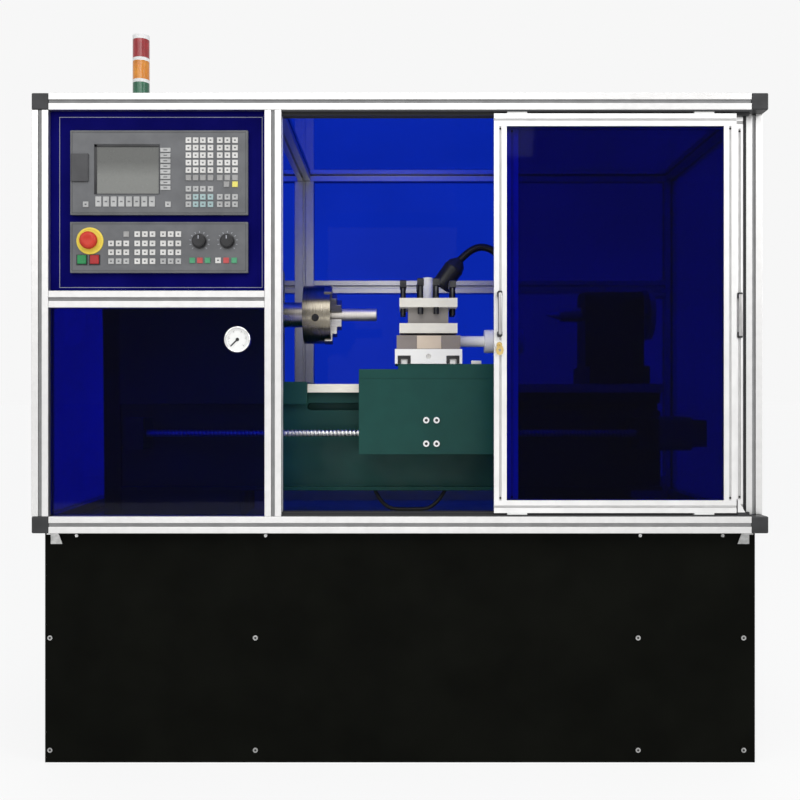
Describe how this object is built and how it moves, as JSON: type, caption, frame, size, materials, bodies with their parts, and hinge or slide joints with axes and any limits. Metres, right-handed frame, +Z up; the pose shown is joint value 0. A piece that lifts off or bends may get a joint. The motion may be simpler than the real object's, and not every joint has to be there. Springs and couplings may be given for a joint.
{
  "type": "cnc turning lathe",
  "caption": "Compact CNC turning lathe in a blue-glazed aluminium-profile enclosure on a black cabinet, with sliding doors, control panel, chuck, carriage with square turret and tailstock.",
  "frame": {"origin": "centre of the cabinet's underside, on the floor", "axes": "+X to the operator's right along the spindle, -Y to the operator, +Z up"},
  "size_m": [1.74, 0.8205, 2.015],
  "materials": {
    "black_paint": "satin",
    "tray_paint": "satin",
    "fixing_steel": "satin",
    "black_cube": "matte",
    "profile_aluminium": "satin",
    "blue_acrylic": "clear",
    "blue_board": "satin",
    "unit_grey": "matte",
    "screen": "gloss",
    "cover_grey": "matte",
    "key_white": "satin",
    "collar_yellow": "satin",
    "signal_red": "gloss",
    "signal_green": "gloss",
    "signal_amber": "gloss",
    "knob_black": "satin",
    "gauge_metal": "polished",
    "needle_black": "matte",
    "brass": "polished",
    "handle_steel": "satin",
    "tower_white": "satin",
    "machine_green": "satin",
    "ground_iron": "ground",
    "steel": "ground",
    "belt_rubber": "matte",
    "motor_grey": "satin",
    "chuck_steel": "ground",
    "work_bar": "turned",
    "turret_white": "satin",
    "turret_grey": "satin",
    "bolt_black": "blackened",
    "lamp_black": "satin",
    "cable_black": "matte"
  },
  "bodies": {
    "enclosure": {"base_cabinet": "black_paint", "base_front_panel": "black_paint", "chip_tray": "tray_paint", "base_fixings": "fixing_steel", "corner_cubes": "black_cube", "frame_posts": "profile_aluminium", "frame_beams": "profile_aluminium", "enclosure_panels": "blue_acrylic", "control_board": "blue_board", "display_unit": "unit_grey", "display_screen": "screen", "membrane_keys": "key_white", "button_panel": "unit_grey", "estop_collar": "collar_yellow", "gauge_case": "gauge_metal", "door_tracks": "profile_aluminium", "tower_stand": "tower_white", "tower_red_lens": "signal_red", "tower_amber_lens": "signal_amber", "tower_green_lens": "signal_green", "lathe_bed": "machine_green", "bed_ways": "ground_iron", "headstock": "machine_green", "drive_belt": "belt_rubber", "spindle_motor": "motor_grey", "z_servo_motor": "motor_grey", "bed_cable": "cable_black"},
    "front_door": {"front_door_frame": "profile_aluminium", "front_door_pane": "blue_acrylic", "front_door_handle": "handle_steel"},
    "key": {"door_key": "brass"},
    "rear_door": {"rear_door_frame": "profile_aluminium", "rear_door_pane": "blue_acrylic", "rear_door_handle": "handle_steel"},
    "spindle": {"spindle": "steel", "spindle_pulley": "steel", "chuck_body": "chuck_steel", "workpiece": "work_bar"},
    "motor_pulley": {"motor_pulley": "steel"},
    "jaw_1": {"chuck_jaw_1": "steel"},
    "jaw_2": {"chuck_jaw_2": "steel"},
    "jaw_3": {"chuck_jaw_3": "steel"},
    "z_screw": {"z_ball_screw": "steel"},
    "carriage": {"saddle": "machine_green", "apron_cover": "machine_green", "work_lamp": "lamp_black"},
    "cross_slide": {"cross_slide": "turret_white", "turret_base": "turret_grey"},
    "turret": {"turret_head": "turret_white", "turret_bolts": "bolt_black"},
    "tailstock": {"tailstock_body": "machine_green"},
    "quill": {"tailstock_quill": "steel"},
    "handwheel": {"tailstock_handwheel": "steel"},
    "usb_cover": {"usb_cover": "cover_grey"},
    "estop_button": {"estop_button": "signal_red"},
    "start_button": {"start_button": "signal_green"},
    "stop_button": {"stop_button": "signal_red"},
    "feed_knob": {"feed_knob": "knob_black"},
    "spindle_knob": {"spindle_knob": "knob_black"},
    "gauge_needle": {"gauge_needle": "needle_black"}
  },
  "joints": [
    {"name": "front_door_slide", "type": "slide", "parent": "enclosure", "child": "front_door", "axis": [1, 0, 0], "range_m": [-0.5, 0.002]},
    {"name": "rear_door_slide", "type": "slide", "parent": "enclosure", "child": "rear_door", "axis": [1, 0, 0], "range_m": [-0.53, 0.003]},
    {"name": "key_turn", "type": "hinge", "parent": "front_door", "child": "key", "pos_m": [0.234, -0.39, 1], "axis": [0, 1, 0], "range_deg": [0, 90]},
    {"name": "spindle_turn", "type": "hinge", "parent": "enclosure", "child": "spindle", "pos_m": [-0.3, 0, 1.105], "axis": [1, 0, 0], "continuous": true},
    {"name": "motor_turn", "type": "hinge", "parent": "enclosure", "child": "motor_pulley", "pos_m": [-0.77, 0, 0.28], "axis": [1, 0, 0], "continuous": true},
    {"name": "jaw_1_slide", "type": "slide", "parent": "spindle", "child": "jaw_1", "axis": [0, -0.6428, 0.766], "range_m": [0, 0.012]},
    {"name": "jaw_2_slide", "type": "slide", "parent": "spindle", "child": "jaw_2", "axis": [0, -0.342, -0.9397], "range_m": [0, 0.012]},
    {"name": "jaw_3_slide", "type": "slide", "parent": "spindle", "child": "jaw_3", "axis": [0, 0.9848, 0.1736], "range_m": [0, 0.012]},
    {"name": "carriage_slide", "type": "slide", "parent": "enclosure", "child": "carriage", "axis": [1, 0, 0], "range_m": [-0.09, 0.15]},
    {"name": "z_screw_turn", "type": "hinge", "parent": "enclosure", "child": "z_screw", "pos_m": [0, -0.165, 0.784], "axis": [1, 0, 0], "continuous": true},
    {"name": "cross_slide_travel", "type": "slide", "parent": "carriage", "child": "cross_slide", "axis": [0, 1, 0], "range_m": [-0.08, 0.02]},
    {"name": "turret_index", "type": "hinge", "parent": "cross_slide", "child": "turret", "pos_m": [0.07206, -0.15, 1.1], "axis": [0, 0, 1], "continuous": true},
    {"name": "tailstock_slide", "type": "slide", "parent": "enclosure", "child": "tailstock", "axis": [1, 0, 0], "range_m": [-0.03, 0.03]},
    {"name": "handwheel_turn", "type": "hinge", "parent": "tailstock", "child": "handwheel", "pos_m": [0.68, 0, 1.105], "axis": [1, 0, 0], "range_deg": [0, 3600]},
    {"name": "quill_slide", "type": "slide", "parent": "tailstock", "child": "quill", "axis": [-1, 0, 0], "range_m": [0, 0.05]},
    {"name": "usb_cover_hinge", "type": "hinge", "parent": "enclosure", "child": "usb_cover", "pos_m": [-0.7755, -0.3869, 1.419], "axis": [0, 0, -1], "range_deg": [0, 110]},
    {"name": "estop_press", "type": "slide", "parent": "enclosure", "child": "estop_button", "axis": [0, 1, 0], "range_m": [0, 0.005]},
    {"name": "start_press", "type": "slide", "parent": "enclosure", "child": "start_button", "axis": [0, 1, 0], "range_m": [0, 0.003], "stiffness_N_per_m": 1500, "springref_m": -0.002},
    {"name": "stop_press", "type": "slide", "parent": "enclosure", "child": "stop_button", "axis": [0, 1, 0], "range_m": [0, 0.003], "stiffness_N_per_m": 1500, "springref_m": -0.002},
    {"name": "feed_knob_turn", "type": "hinge", "parent": "enclosure", "child": "feed_knob", "pos_m": [-0.474, -0.39, 1.245], "axis": [0, 1, 0], "range_deg": [-135, 135]},
    {"name": "spindle_knob_turn", "type": "hinge", "parent": "enclosure", "child": "spindle_knob", "pos_m": [-0.408, -0.39, 1.245], "axis": [0, 1, 0], "range_deg": [-135, 135]},
    {"name": "gauge_needle_turn", "type": "hinge", "parent": "enclosure", "child": "gauge_needle", "pos_m": [-0.384, -0.388, 1.013], "axis": [0, 1, 0], "range_deg": [0, 270]}
  ],
  "couplings": [
    {"joint": "motor_turn", "follows": "spindle_turn", "ratio": 1.4545},
    {"joint": "jaw_2_slide", "follows": "jaw_1_slide", "ratio": 1},
    {"joint": "jaw_3_slide", "follows": "jaw_1_slide", "ratio": 1},
    {"joint": "z_screw_turn", "follows": "carriage_slide", "rad_per_m": 628.32},
    {"joint": "quill_slide", "follows": "handwheel_turn", "m_per_rad": 0.00079577}
  ]
}
